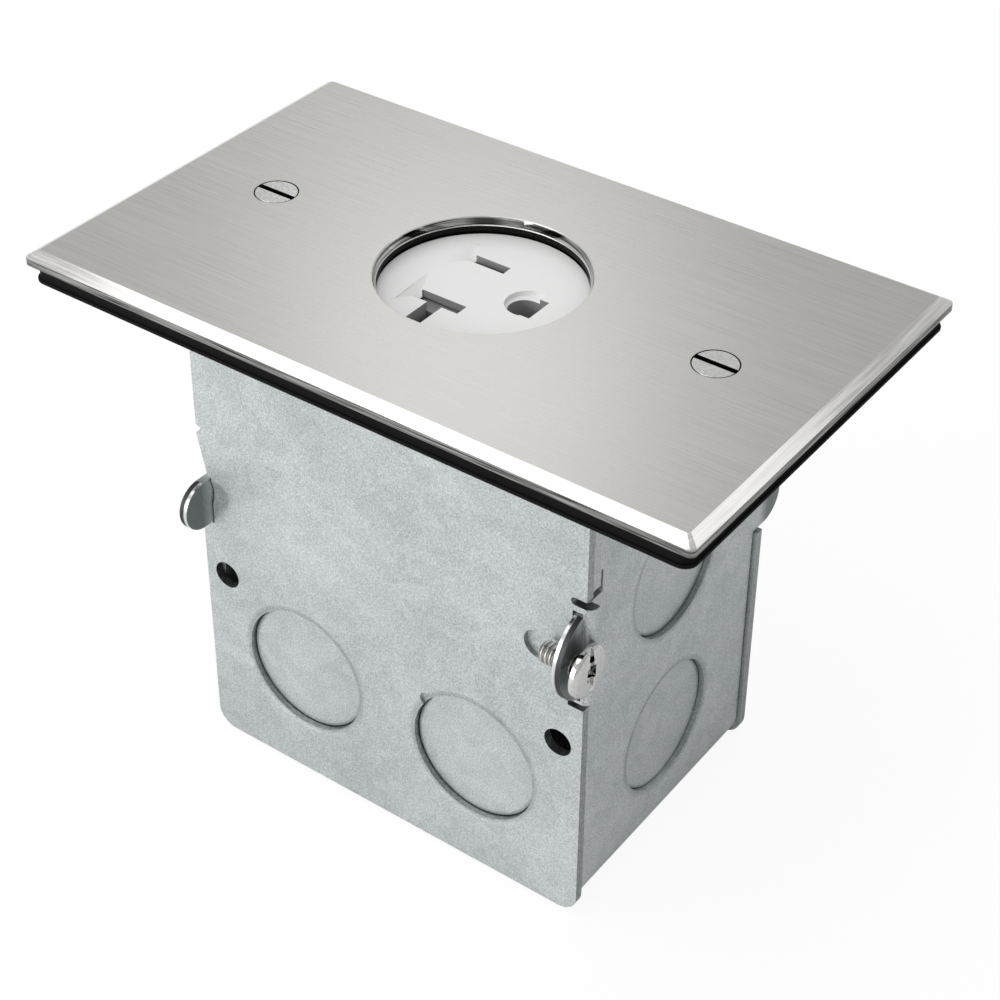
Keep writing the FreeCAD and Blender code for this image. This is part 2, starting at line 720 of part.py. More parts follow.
def box_body():
    """Bottom and end walls bent from one sheet, with device ears, screw ears and lugs."""
    outside = u_outline(end_half, rim_z, floor_bend, 0)
    inside = u_outline(end_inner, rim_z + 1, floor_bend - sheet, sheet)
    width = Vec(0, 2 * body_half_width, 0)
    body = outside.extrude(width).cut(inside.extrude(width))
    body.translate(Vec(0, -body_half_width, 0))
    cut_half = ear_width / 2 + ear_relief
    bend_z = strap_bottom_z - sheet - ear_bend
    side_pieces = device_ear().fuse([clamp_ear(), half_turn(plain_lug())])
    body = body.cut(block(-end_half - 1, end_half + 1, -cut_half, cut_half, bend_z, rim_z + 2))
    body = body.fuse([side_pieces, half_turn(side_pieces)])
    for side in (-1, 1):
        ear_hole = rod(clamp_shank_radius + thread_clear,
                       Vec(side * (end_half + 1), -side * clamp_y, clamp_z), X_AXIS * -side, 4)
        end_start = Vec(side * (end_half + 1), 0, end_knockout_low_z)
        low = rod(knockout_radius, end_start, X_AXIS * -side, 4)
        high = low.copy()
        high.translate(Vec(0, 0, end_knockout_high_z - end_knockout_low_z))
        bottom = rod(knockout_radius, Vec(side * bottom_knockout_x, 0, -1), Z_AXIS, 4)
        slit_x = min(side * end_inner, side * end_half) - 1
        slit_y = panel_outer_y - slit_in
        slit = block(slit_x, slit_x + sheet + 2, -slit_y - slit_width, -slit_y, tongue_top,
                     tongue_top + slit_height)
        mouth = block(slit_x, slit_x + sheet + 2, -body_half_width - 1, -slit_y, tongue_top,
                      tongue_top + 2 * relief_radius)
        if side < 0:
            slit = slit.mirror(Vec(0, 0, 0), Y_AXIS)
            mouth = mouth.mirror(Vec(0, 0, 0), Y_AXIS)
        body = body.cut([ear_hole, low, high, bottom, slit, mouth])
    earth = Vec(box_earth_x, box_earth_y, 0)
    boss = rod(box_earth_boss_radius - sheet, earth, Z_AXIS, box_earth_boss_rise)
    body = body.fuse(rod(box_earth_boss_radius, earth, Z_AXIS, box_earth_boss_rise + sheet))
    body = body.cut(boss).cut(rod(box_earth_radius + thread_clear, earth, Z_AXIS, 10))
    return body.removeSplitter()


def knockout_disc(start, axis):
    """Disc left in its hole, pushed inwards a little."""
    return rod(knockout_radius - knockout_gap, start + axis * knockout_push, axis, sheet)


def panel_knockouts():
    """The front panel's two discs."""
    discs = []
    for side in (-1, 1):
        start = Vec(side * panel_knockout_x, -panel_outer_y, panel_knockout_z)
        discs.append(knockout_disc(start, Y_AXIS))
    return Part.makeCompound(discs)


def end_knockouts():
    """Two discs in each end wall."""
    discs = []
    for side in (-1, 1):
        for z in (end_knockout_low_z, end_knockout_high_z):
            discs.append(knockout_disc(Vec(side * end_half, 0, z), X_AXIS * -side))
    return Part.makeCompound(discs)


def bottom_knockouts():
    """Two discs in the bottom."""
    discs = []
    for side in (-1, 1):
        discs.append(knockout_disc(Vec(side * bottom_knockout_x, 0, 0), Z_AXIS))
    return Part.makeCompound(discs)


def side_panel():
    """Front panel: flat sheet with a tongue bent round the end wall at +X, hooked at -X."""
    y0 = -panel_outer_y
    y1 = -panel_inner_y
    panel = block(-panel_half_length, panel_half_length, y0, y1, 0, rim_z)
    panel = round_edges(panel, panel_corner, lambda a, b: a.z == b.z == 0 and a.x == b.x)
    panel = round_edges(panel, panel_top_corner, lambda a, b: a.z == b.z == rim_z and a.x == b.x)
    wrap = block(end_inner, tongue_outer_x, y0, y1, tongue_bottom, tongue_top)
    tongue = prism([Vec(end_half, y0, tongue_bottom), Vec(end_half, y0, tongue_top),
                    Vec(end_half, tongue_narrow - panel_outer_y, tongue_top),
                    Vec(end_half, tongue_narrow - panel_outer_y, tongue_slope_high),
                    Vec(end_half, tongue_wide - panel_outer_y, tongue_slope_low),
                    Vec(end_half, tongue_wide - panel_outer_y, tongue_foot)], Vec(sheet, 0, 0))
    wrapped = wrap.fuse(tongue).removeSplitter()
    corner_x = tongue_outer_x
    wrapped = round_edges(wrapped, bend_round, lambda a, b: upright(a, b)
                          and abs(a.x - corner_x) < 1e-6 and abs(a.y - y0) < 1e-6)
    panel = panel.fuse(wrapped)
    relief_x = panel_half_length - relief_depth
    low_relief = block(relief_x, tongue_outer_x + 1, y0 - 1, y1, tongue_bottom - relief_height,
                       tongue_bottom)
    top_relief = obround(relief_radius, Vec(relief_x + relief_radius, y0 - 1, tongue_top + relief_radius),
                         Vec(tongue_outer_x + 1, y0 - 1, tongue_top + relief_radius), Y_AXIS, sheet + 2)
    panel = panel.cut([low_relief, top_relief])
    return cut_panel(panel.removeSplitter())


def cut_panel(panel):
    """Slots, holes and dimples of the front panel."""
    y_out = -panel_outer_y - 1
    through = sheet + 2
    ear_half = clamp_ear_radius + slot_clear
    ear_slot = block(end_inner - slot_clear, end_half, y_out, y_out + through, clamp_z - ear_half,
                     clamp_z + ear_half)
    screw_way = rod(clamp_shank_radius + 2 * slot_clear, Vec(end_inner, -clamp_y, clamp_z), X_AXIS,
                    through + 1)
    lug_half = lug_radius + slot_clear
    lug_slot = block(-panel_half_length - 1, -end_inner + slot_clear, y_out, y_out + through,
                     lug_z - lug_half, lug_z + lug_half)
    edge = -panel_half_length
    taper = prism([Vec(edge - 1, y_out, edge_taper_top), Vec(edge, y_out, edge_taper_top),
                   Vec(edge + edge_taper, y_out, lug_z + lug_half),
                   Vec(edge - 1, y_out, lug_z + lug_half)], Vec(0, through, 0))
    hook = prism([Vec(edge - 1, y_out, hook_z - hook_half), Vec(edge, y_out, hook_z - hook_half),
                  Vec(edge + hook_depth, y_out, hook_z), Vec(edge, y_out, hook_z + hook_half),
                  Vec(edge - 1, y_out, hook_z + hook_half)], Vec(0, through, 0))
    panel = panel.cut([ear_slot, screw_way, lug_slot, taper, hook])
    for side in (-1, 1):
        fixing = rod(fixing_hole_radius, Vec(side * fixing_hole_x, y_out, fixing_hole_z), Y_AXIS,
                     through)
        knockout = rod(knockout_radius, Vec(side * panel_knockout_x, y_out, panel_knockout_z),
                       Y_AXIS, through)
        panel = panel.cut([fixing, knockout])
    pry_angle = math.radians(pry_notch_angle)
    pry = Vec(panel_knockout_x + knockout_radius * math.cos(pry_angle), y_out,
              panel_knockout_z + knockout_radius * math.sin(pry_angle))
    panel = panel.cut(rod(pry_notch_radius, pry, Y_AXIS, 1 + pry_notch_depth))
    dimple = obround(dimple_radius, Vec(end_inner - dimple_length, y_out, dimple_z),
                     Vec(end_inner, y_out, dimple_z), Y_AXIS, 1 + dimple_depth)
    dent = Part.makeCone(dent_radius, dent_floor, dent_depth,
                         Vec(edge + dent_inset, -panel_outer_y, lug_z + dent_rise), Y_AXIS)
    return panel.cut([dimple, dent]).removeSplitter()


def clamp_screw():
    """Screw that clamps the front panel's tongue against the screw ear."""
    screw = pan_screw(clamp_head_radius, clamp_head_height, clamp_shank_radius,
                      clamp_length, clamp_slot_width)
    recess = block(-clamp_recess_half, clamp_recess_half, -clamp_recess_half, clamp_recess_half,
                   clamp_head_height - clamp_recess_depth, clamp_head_height + 1)
    screw = screw.cut(recess)
    screw.rotate(Vec(0, 0, 0), Z_AXIS, -clamp_slot_tilt)
    return aimed(screw, Vec(tongue_outer_x + thread_clear, -clamp_y, clamp_z), X_AXIS)


def box_earth_screw():
    """Earth screw in the boss of the box's bottom."""
    seat = box_earth_boss_rise + sheet
    screw = pan_screw(box_earth_head, terminal_head_height, box_earth_radius, seat, screw_slot_width)
    return aimed(screw, Vec(box_earth_x, box_earth_y, seat + terminal_gap), Z_AXIS)


def main():
    """Make every piece and write one file each."""
    panel = side_panel()
    discs = panel_knockouts()
    clamp = clamp_screw()
    pieces = {
        "cover_plate": cover_plate(),
        "cover_gasket": cover_gasket(),
        "cover_screw_left": cover_screw(-1),
        "cover_screw_right": cover_screw(1),
        "receptacle_face": receptacle_face(),
        "shutter": shutter(),
        "receptacle_base": receptacle_base(),
        "mounting_strap": mounting_strap(),
        "line_contact": blade_contact(1),
        "neutral_contact": blade_contact(-1),
        "ground_contact": ground_contact(),
        "line_clamp_plate": clamp_plate(1),
        "neutral_clamp_plate": clamp_plate(-1),
        "line_terminal_screw": terminal_screw(1),
        "neutral_terminal_screw": terminal_screw(-1),
        "earth_terminal_screw": earth_terminal_screw(),
        "receptacle_screws": receptacle_screws(),
        "box_body": box_body(),
        "box_earth_screw": box_earth_screw(),
        "front_side_panel": panel,
        "rear_side_panel": half_turn(panel),
        "front_clamp_screw": clamp,
        "rear_clamp_screw": half_turn(clamp),
        "front_knockouts": discs,
        "rear_knockouts": half_turn(discs),
        "end_knockouts": end_knockouts(),
        "bottom_knockouts": bottom_knockouts(),
    }
    os.makedirs("parts", exist_ok=True)
    for name, shape in pieces.items():
        shape.exportStep(f"parts/{name}.step")
        print(name, len(shape.Solids), "solids, valid", shape.isValid(), "volume", round(shape.Volume, 1))


main()
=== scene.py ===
# %% [markdown]
# A floor socket box is a steel wiring box that is sunk into a floor, closed by a satin metal cover
# with one round socket in the middle. This lesson dresses the measured model of it: each rigid
# piece keeps its size and place, and gets softened edges and the finish of the real thing.
# The frame comes first, because every later piece takes its place from it.

# %% Load the measured frame
import json
import math

import bmesh
import bpy
from mathutils import Euler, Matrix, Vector


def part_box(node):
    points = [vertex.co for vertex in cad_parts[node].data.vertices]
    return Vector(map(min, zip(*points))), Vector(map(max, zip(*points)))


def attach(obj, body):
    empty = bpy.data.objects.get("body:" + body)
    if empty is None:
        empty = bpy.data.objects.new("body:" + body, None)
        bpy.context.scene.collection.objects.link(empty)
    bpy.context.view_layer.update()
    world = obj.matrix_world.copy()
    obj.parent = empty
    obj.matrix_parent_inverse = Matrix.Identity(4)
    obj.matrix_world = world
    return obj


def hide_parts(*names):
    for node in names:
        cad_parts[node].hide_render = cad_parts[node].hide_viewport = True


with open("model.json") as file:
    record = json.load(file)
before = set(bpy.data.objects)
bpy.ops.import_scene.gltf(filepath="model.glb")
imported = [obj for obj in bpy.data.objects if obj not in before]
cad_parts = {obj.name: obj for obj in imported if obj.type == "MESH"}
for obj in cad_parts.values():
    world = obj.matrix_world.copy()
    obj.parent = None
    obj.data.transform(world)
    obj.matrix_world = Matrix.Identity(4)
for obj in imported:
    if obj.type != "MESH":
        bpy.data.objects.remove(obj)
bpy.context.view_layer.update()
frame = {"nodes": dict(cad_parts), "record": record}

# %% [markdown]
# Blender works in metres, while a maker thinks in millimetres, so one factor turns one into the
# other. Colours are written as the hex codes that a colour picker shows, and one function turns
# them into the linear values that light is computed with.

# %% Units and colours
MM = 0.001


def linear(hex_code):
    """Linear colour of an sRGB hex code."""
    channels = []
    for start in (0, 2, 4):
        value = int(hex_code[start:start + 2], 16) / 255
        channels.append(value / 12.92 if value <= 0.04045 else ((value + 0.055) / 1.055) ** 2.4)
    return (*channels, 1.0)


print("mid grey is", round(linear("808080")[0], 3), "in linear light")

# %% [markdown]
# Every finish below is a small network of nodes. One helper adds a node, sets its properties and
# fills its sockets, either with a plain value or with the output of another node. That keeps each
# material readable as a list of what the surface is made of. A noise gives values from 0 to 1 that
# crowd round a half, so a colour or a gloss is spread between marks on both sides of it.

# %% One helper for all node networks
NOISE_WIDE = (0.25, 0.75)
NOISE_MIDDLE = (0.3, 0.7)
NOISE_NARROW = (0.35, 0.65)


def add(tree, kind, sockets=None, **settings):
    """Adds a node, sets its properties, and fills its sockets with values or links."""
    made = tree.nodes.new(kind)
    for name, value in settings.items():
        setattr(made, name, value)
    for key, value in (sockets or {}).items():
        if isinstance(value, bpy.types.NodeSocket):
            tree.links.new(value, made.inputs[key])
        else:
            made.inputs[key].default_value = value
    return made


def new_material(name):
    """Empty node material with its output, ready for a shader."""
    material = bpy.data.materials.new(name)
    material.use_nodes = True
    tree = material.node_tree
    tree.nodes.clear()
    output = add(tree, "ShaderNodeOutputMaterial")
    return material, tree, output


def spread(tree, value, low, high, low_at=0.0, high_at=1.0):
    """Number that runs from low to high while the input runs between two marks."""
    return add(tree, "ShaderNodeMapRange", {"Value": value, "From Min": low_at, "From Max": high_at,
                                            "To Min": low, "To Max": high}).outputs["Result"]


def between(tree, factor, dark, light):
    """Colour that runs from a dark to a light hex code."""
    return add(tree, "ShaderNodeMix", {0: factor, 6: linear(dark), 7: linear(light)},
               data_type="RGBA").outputs[2]


def total(tree, first, second):
    """Sum of two numbers."""
    return add(tree, "ShaderNodeMath", {0: first, 1: second}, operation="ADD").outputs[0]


print("a noise is read between", *NOISE_WIDE, "or", *NOISE_MIDDLE, "or", *NOISE_NARROW)

# %% [markdown]
# The cover is stainless steel with a satin finish: an abrasive belt has drawn fine parallel lines
# along its length. The lines are a tenth of a millimetre apart on the real plate, too fine to show,
# so they are drawn about a quarter of a millimetre wide and some 20 mm long. They come from one
# noise pattern that is stretched along X, which tints the steel, varies its gloss and tilts it. A
# second, broad noise gives the faint clouds that a hand leaves on brushed steel.

# %% Satin stainless steel
LINE_WIDTH = 0.26 * MM
LINE_LENGTH = 22 * MM
CLOUD = 35.7 * MM


def satin_stainless():
    """Stainless steel brushed along X: soft gloss, fine lines along the plate."""
    material, tree, output = new_material("satin_stainless_steel")
    place = add(tree, "ShaderNodeTexCoord").outputs["Object"]
    stretched = add(tree, "ShaderNodeMapping", {
        "Vector": place, "Scale": (1 / LINE_LENGTH, 1 / LINE_WIDTH, 1 / LINE_WIDTH)})
    lines = add(tree, "ShaderNodeTexNoise", {
        "Vector": stretched.outputs["Vector"], "Scale": 1.0, "Detail": 4.0, "Roughness": 0.65})
    clouds = add(tree, "ShaderNodeTexNoise", {"Vector": place, "Scale": 1 / CLOUD, "Detail": 2.0})
    blended = total(tree, lines.outputs["Fac"], spread(tree, clouds.outputs["Fac"], -0.06, 0.06))
    tilt = add(tree, "ShaderNodeBump", {"Height": lines.outputs["Fac"], "Strength": 0.12,
                                        "Distance": 0.02 * MM})
    shader = add(tree, "ShaderNodeBsdfPrincipled", {
        "Base Color": between(tree, spread(tree, blended, 0.0, 1.0, *NOISE_WIDE), "B6B5B2", "CBCAC7"),
        "Metallic": 1.0, "Roughness": spread(tree, blended, 0.26, 0.34, *NOISE_MIDDLE),
        "Normal": tilt.outputs["Normal"]})
    tree.links.new(shader.outputs[0], output.inputs["Surface"])
    return material


SATIN = satin_stainless()
print("brushed lines:", round(LINE_WIDTH / MM, 2), "mm wide")

# %% [markdown]
# The bevel round the cover and the lip of its opening are buffed bright, so they mirror the room in
# thin white and dark bands. A polished metal is the same steel with a low roughness. The same
# function makes the plated screws, the brass and the dark grey of the ears, each with its own colour
# and roughness. Where a wheel or a shear ran along an edge it left streaks. They are long across the
# ground plane and fine in height, a quarter of a millimetre, so one stretched noise follows every
# edge of the plate. The turned ring's colour is streaked from near black to pale, a painted
# reflection of the dark and bright parts of a studio side by side. The wall under it, the sinks of
# the cover screws and the slots of those screws share one near-black colour, which is painted shade.

# %% Polished, plated and bare metals
def polished_metal(name, dark, light, rough_low, rough_high, grain_mm, streak=1.0):
    """Bright metal with faint polishing marks, drawn out level by the streak factor."""
    material, tree, output = new_material(name)
    place = add(tree, "ShaderNodeTexCoord").outputs["Object"]
    fine = 1 / (grain_mm * MM)
    drawn = add(tree, "ShaderNodeMapping", {"Vector": place,
                                            "Scale": (fine / streak, fine / streak, fine)})
    marks = add(tree, "ShaderNodeTexNoise", {"Vector": drawn.outputs["Vector"], "Scale": 1.0,
                                             "Detail": 3.0}).outputs["Fac"]
    tilt = add(tree, "ShaderNodeBump", {"Height": marks, "Strength": 0.02, "Distance": 0.02 * MM})
    shader = add(tree, "ShaderNodeBsdfPrincipled", {
        "Base Color": between(tree, spread(tree, marks, 0.0, 1.0, *NOISE_NARROW), dark, light),
        "Metallic": 1.0, "Roughness": spread(tree, marks, rough_low, rough_high, *NOISE_MIDDLE),
        "Normal": tilt.outputs["Normal"]})
    tree.links.new(shader.outputs[0], output.inputs["Surface"])
    return material


BUFFED = polished_metal("buffed_stainless_steel", "D6D5D3", "F2F1EF", 0.07, 0.17, 0.26, streak=50)
# The turned ring's near-black to pale colour is a painted reflection; the undercut wall's near black is
# painted shade.
TURNED_REFLECTION = polished_metal("turned_ring_painted_reflection", "1E1E1D", "DCDCDA", 0.03, 0.07, 0.22, streak=50)
UNDERCUT_SHADE = polished_metal("undercut_wall_painted_shade", "161616", "2A2A29", 0.45, 0.60, 0.3)
SHEARED = polished_metal("sheared_plate_edge", "3C3C3B", "B0B0AE", 0.30, 0.46, 0.30, streak=40)
NICKEL = polished_metal("nickel_plated_screw", "D2D2D1", "E4E4E3", 0.06, 0.12, 0.5)
CUT_EDGE = polished_metal("cut_sheet_edge", "8C8F90", "B4B7B7", 0.34, 0.48, 0.5)
# The flat faces of the ears are coloured dark grey as painted shade.
EAR_FLAT_SHADE = polished_metal("ear_flat_painted_shade", "585B5C", "74777A", 0.40, 0.55, 0.6)
BRASS = polished_metal("contact_brass", "B98F45", "D6B066", 0.24, 0.34, 0.5)
GREEN = polished_metal("green_dyed_screw", "1E5A34", "2E7A48", 0.28, 0.38, 0.5)
ZINC = polished_metal("zinc_plated_strap", "A9ACAD", "BDC0C1", 0.30, 0.42, 0.8)
print("polished metals made")

# %% [markdown]
# A punch cuts the first third of a sheet cleanly and tears the rest, so the rim of an ear has a
# bright burnished band on the side that the punch came from, and a dark torn band beside it. The
# ears lie in the planes of the end walls, so the distance from the middle of the box, along X,
# tells the two bands apart on both of them.

# %% Punched edge
PUNCHED_FROM = 35.9 * MM       # the inner face of the end wall
BURNISHED_TO = 36.45 * MM
TORN_FROM = 36.65 * MM


def punched_edge():
    """Burnished bright towards the middle of the box, torn and dark on the outside."""
    material, tree, output = new_material("punched_edge_of_ear")
    place = add(tree, "ShaderNodeTexCoord").outputs["Object"]
    along = add(tree, "ShaderNodeSeparateXYZ", {0: place}).outputs["X"]
    reach = add(tree, "ShaderNodeMath", {0: along}, operation="ABSOLUTE").outputs[0]
    torn = spread(tree, reach, 0.0, 1.0, BURNISHED_TO, TORN_FROM)
    shader = add(tree, "ShaderNodeBsdfPrincipled", {
        "Base Color": between(tree, torn, "E6E8E8", "4A4C4D"), "Metallic": 1.0,
        "Roughness": spread(tree, torn, 0.20, 0.50)})
    tree.links.new(shader.outputs[0], output.inputs["Surface"])
    return material


PUNCHED = punched_edge()
print("burnished band:", round((BURNISHED_TO - PUNCHED_FROM) / MM, 2), "mm of the sheet")

# %% [markdown]
# Each knockout disc was half cut out of the sheet and pressed back, which leaves a faint dished rim
# round it. The rim is a band at one distance from the disc's centre, so a distance in the plane of
# the sheet draws it, and the rims of all discs of a sheet are summed. The rim tilts the zinc with a
# bump and darkens its colour, which is painted shade in the dish.

# %% Rims of the punched discs
RIM = 11.95 * MM              # radius of the pressed rim round each punched disc
RIM_WIDTH = 0.9 * MM
SIDE_DISCS = [(-17.5, 0, 22.6), (17.5, 0, 22.6)]      # centres of the discs, in mm
END_DISCS = [(0, 0, 21.0), (0, 0, 54.0)]
BOTTOM_DISCS = [(-17.5, 0, 0), (17.5, 0, 0)]


def ring_mark(tree, place, keep, centre):
    """1 on the rim of one punched disc, falling to 0 beside it: keep picks the two axes of its plane."""
    offset = add(tree, "ShaderNodeVectorMath", {0: place, 1: [value * MM for value in centre]},
                 operation="SUBTRACT")
    flat = add(tree, "ShaderNodeVectorMath", {0: offset.outputs[0], 1: keep}, operation="MULTIPLY")
    reach = add(tree, "ShaderNodeVectorMath", {0: flat.outputs[0]}, operation="LENGTH")
    beside = add(tree, "ShaderNodeMath", {0: reach.outputs["Value"], 1: RIM}, operation="SUBTRACT")
    away = add(tree, "ShaderNodeMath", {0: beside.outputs[0]}, operation="ABSOLUTE")
    return spread(tree, away.outputs[0], 1.0, 0.0, 0.0, RIM_WIDTH)


def ring_marks(tree, place, keep, centres):
    """Sum of the rims of all discs of one sheet."""
    marks = ring_mark(tree, place, keep, centres[0])
    for centre in centres[1:]:
        marks = total(tree, marks, ring_mark(tree, place, keep, centre))
    return marks


print("pressed rims:", round(2 * RIM / MM, 1), "mm across")

# %% [markdown]
# The box is hot-dip galvanised sheet. Its zinc freezes in flat crystals a few millimetres across,
# the spangle, and each crystal has its own grey. A Voronoi pattern gives one value per crystal, a
# fine noise gives the sandy speckle, and a broad noise gives the faint stains. Zinc scatters more
# light than polished steel, so its roughness is near a half and its metallic value under one.
# Towards the ears that stand outside the box, the zinc of the end walls is darkened as painted shade.

# %% Galvanised sheet steel
CRYSTAL = 2.6 * MM
EDGE_WAVE = 2 * CRYSTAL       # the edges of the crystals wander in waves this long
EDGE_SHIFT = 1.2 * CRYSTAL    # and the noise that moves them does so by up to this much
SPECKLE = 0.32 * MM
STAIN = 26 * MM
EAR_SHADE_FROM = 26.2 * MM         # how far out, along Y, the zinc of an ear starts to darken
EAR_SHADE_FADE = 2.4 * MM
EAR_SHADE_SHARE = 0.85


def spangle(tree, place):
    """One value per zinc crystal, with edges that a noise makes uneven."""
    warp = add(tree, "ShaderNodeTexNoise", {"Vector": place, "Scale": 1 / EDGE_WAVE, "Detail": 2.0})
    shifted = add(tree, "ShaderNodeVectorMath", {0: warp.outputs["Color"], "Scale": EDGE_SHIFT},
                  operation="SCALE")
    moved = add(tree, "ShaderNodeVectorMath", {0: place, 1: shifted.outputs[0]}, operation="ADD")
    crystals = add(tree, "ShaderNodeTexVoronoi", {"Vector": moved.outputs[0], "Scale": 1 / CRYSTAL},
                   feature="F1")
    return add(tree, "ShaderNodeSeparateColor", {0: crystals.outputs["Color"]}).outputs[0]


def painted_ear_shade(tree, place, zinc):
    """The zinc's colour, darkened on the ears as painted shade."""
    side = add(tree, "ShaderNodeSeparateXYZ", {0: place}).outputs["Y"]
    out = add(tree, "ShaderNodeMath", {0: side}, operation="ABSOLUTE").outputs[0]
    ear_shade = spread(tree, out, 0.0, EAR_SHADE_SHARE, EAR_SHADE_FROM, EAR_SHADE_FROM + EAR_SHADE_FADE)
    # Darker grey towards the ears: painted shade.
    return add(tree, "ShaderNodeMix", {0: ear_shade, 6: zinc, 7: linear("6A6D6E")},
               data_type="RGBA").outputs[2]


def galvanised(name, keep, centres, shaded_ears=False):
    """Hot-dip galvanised steel: pale, slightly blue, softly mottled, with a pressed rim per disc
    darkened as painted shade, and painted shade on the ears when shaded_ears is set.
    """
    material, tree, output = new_material(name)
    place = add(tree, "ShaderNodeTexCoord").outputs["Object"]
    speckle = add(tree, "ShaderNodeTexNoise", {"Vector": place, "Scale": 1 / SPECKLE, "Detail": 3.0,
                                               "Roughness": 0.7}).outputs["Fac"]
    stain = add(tree, "ShaderNodeTexNoise", {"Vector": place, "Scale": 1 / STAIN,
                                             "Detail": 4.0}).outputs["Fac"]
    marks = ring_marks(tree, place, keep, centres)
    grey = spread(tree, spangle(tree, place), 0.40, 0.54)
    grey = total(tree, grey, spread(tree, speckle, -0.55, 0.55, *NOISE_WIDE))
    grey = total(tree, grey, spread(tree, stain, -0.10, 0.14, *NOISE_MIDDLE))
    # The pressed rims are darkened: painted shade in their dish.
    grey = total(tree, grey, spread(tree, marks, 0.0, -0.34))
    rim = add(tree, "ShaderNodeBump", {"Height": marks, "Strength": 0.7, "Distance": 0.3 * MM},
              invert=True)
    tilt = add(tree, "ShaderNodeBump", {"Height": speckle, "Strength": 0.40, "Distance": 0.05 * MM,
                                        "Normal": rim.outputs["Normal"]})
    zinc = between(tree, grey, "9FA6A7", "E6EAEA")
    if shaded_ears:
        zinc = painted_ear_shade(tree, place, zinc)
    shader = add(tree, "ShaderNodeBsdfPrincipled", {
        "Base Color": zinc, "Metallic": 0.72,
        "Roughness": spread(tree, grey, 0.40, 0.54), "Normal": tilt.outputs["Normal"]})
    tree.links.new(shader.outputs[0], output.inputs["Surface"])
    return material


SIDES = galvanised("galvanised_side_panel", (1, 0, 1), SIDE_DISCS)
ENDS = galvanised("galvanised_end_wall", (0, 1, 1), END_DISCS, shaded_ears=True)
BOTTOM = galvanised("galvanised_bottom", (1, 1, 0), BOTTOM_DISCS)
print("zinc crystals:", round(CRYSTAL / MM, 1), "mm")

# %% [markdown]
# The rest is moulded: black rubber for the gasket, white nylon for the socket's face, grey for the
# shutter behind its slots and for the walls of the pockets, as painted shade deep in the slots, and
# dark phenolic for the base. Moulded plastic has a grain from the spark-eroded mould, so each gets a
# little noise in its colour, its gloss and its bump. The noise is about half a millimetre wide,
# coarser than the real grain, so that it shows.

# %% Rubber and plastics
def moulded(name, dark, light, roughness, grain_mm, bump, sheen=0.5):
    """Moulded rubber or plastic with a fine grain."""
    material, tree, output = new_material(name)
    place = add(tree, "ShaderNodeTexCoord").outputs["Object"]
    grain = add(tree, "ShaderNodeTexNoise", {"Vector": place, "Scale": 1 / (grain_mm * MM),
                                             "Detail": 3.0}).outputs["Fac"]
    tilt = add(tree, "ShaderNodeBump", {"Height": grain, "Strength": bump, "Distance": 0.03 * MM})
    shader = add(tree, "ShaderNodeBsdfPrincipled", {
        "Base Color": between(tree, grain, dark, light),
        "Roughness": spread(tree, grain, roughness - 0.05, roughness + 0.05, *NOISE_MIDDLE),
        "Specular IOR Level": sheen, "Normal": tilt.outputs["Normal"]})
    tree.links.new(shader.outputs[0], output.inputs["Surface"])
    return material


RUBBER = moulded("black_rubber_gasket", "060606", "0D0D0D", 0.70, 0.5, 0.3, sheen=0.12)
NYLON = moulded("white_nylon_face", "F3F4F3", "FAFAF9", 0.36, 0.4, 0.06)
# The shutter's grey and the pocket walls' grey are painted shade deep in the slots.
SHUTTER_SHADE = moulded("shutter_painted_shade_grey", "868786", "949594", 0.40, 0.4, 0.06)
POCKET_SHADE = moulded("pocket_walls_painted_shade", "9A9B9A", "A8A9A8", 0.60, 0.4, 0.10, sheen=0.2)
PHENOLIC = moulded("dark_phenolic_base", "2A2A2C", "38383A", 0.50, 0.5, 0.15)
print("moulded materials made")

# %% [markdown]
# The measured pieces have mathematically sharp edges, but no real edge is sharp: sheared steel has
# a burr, moulded plastic a radius. Each piece is therefore copied, its loose triangles are joined
# and its flat facets merged, and a narrow bevel runs round every real edge. The bevel only takes
# material off, so the piece keeps its outside size.

# %% Soften the edges of a measured piece
BODY_OF = {node: body for body, nodes in frame["record"]["behaviour"]["bodies"].items()
           for node in nodes}
SAME_POINT = 0.002 * MM
SAME_PLANE = math.radians(0.4)
REAL_EDGE = math.radians(28)


def finished(node, materials, edge_mm, choose=None, segments=2):
    """Copy of a node with joined faces, softened edges and its finishes."""
    mesh = frame["nodes"][node].data.copy()
    mesh.name = node + "_finished"
    mesh.materials.clear()
    for material in materials:
        mesh.materials.append(material)
    shape = bmesh.new()
    shape.from_mesh(mesh)
    bmesh.ops.remove_doubles(shape, verts=shape.verts, dist=SAME_POINT)
    bmesh.ops.dissolve_limit(shape, angle_limit=SAME_PLANE, verts=shape.verts, edges=shape.edges)
    for face in shape.faces:
        face.smooth = True
        face.material_index = choose(face) if choose else 0
    shape.to_mesh(mesh)
    shape.free()
    piece = bpy.data.objects.new(node + "_finished", mesh)
    bpy.context.scene.collection.objects.link(piece)
    soften = piece.modifiers.new("soft_edges", "BEVEL")
    soften.width = edge_mm * MM
    soften.segments = segments
    soften.limit_method = "ANGLE"
    soften.angle_limit = REAL_EDGE
    even = piece.modifiers.new("even_shading", "WEIGHTED_NORMAL")
    even.mode = "FACE_AREA"
    even.weight = 100
    even.keep_sharp = True
    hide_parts(node)
    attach(piece, BODY_OF[node])
    print(node, "finished with", len(mesh.polygons), "faces")


# %% [markdown]
# The cover plate is one piece of steel with several finishes. Its top is satin, its bevel is buffed,
# and its thin upright edge is left as it was sheared. The opening is turned: a band on top coloured
# with a painted dark reflection, then a bright lip, then the undercut wall, coloured near black as
# painted shade of the gap above the socket. The finish of a face follows from where it looks, and in
# the opening from its depth under the top. A normal has a length of one, so its share along an axis
# tells how squarely a face looks that way.

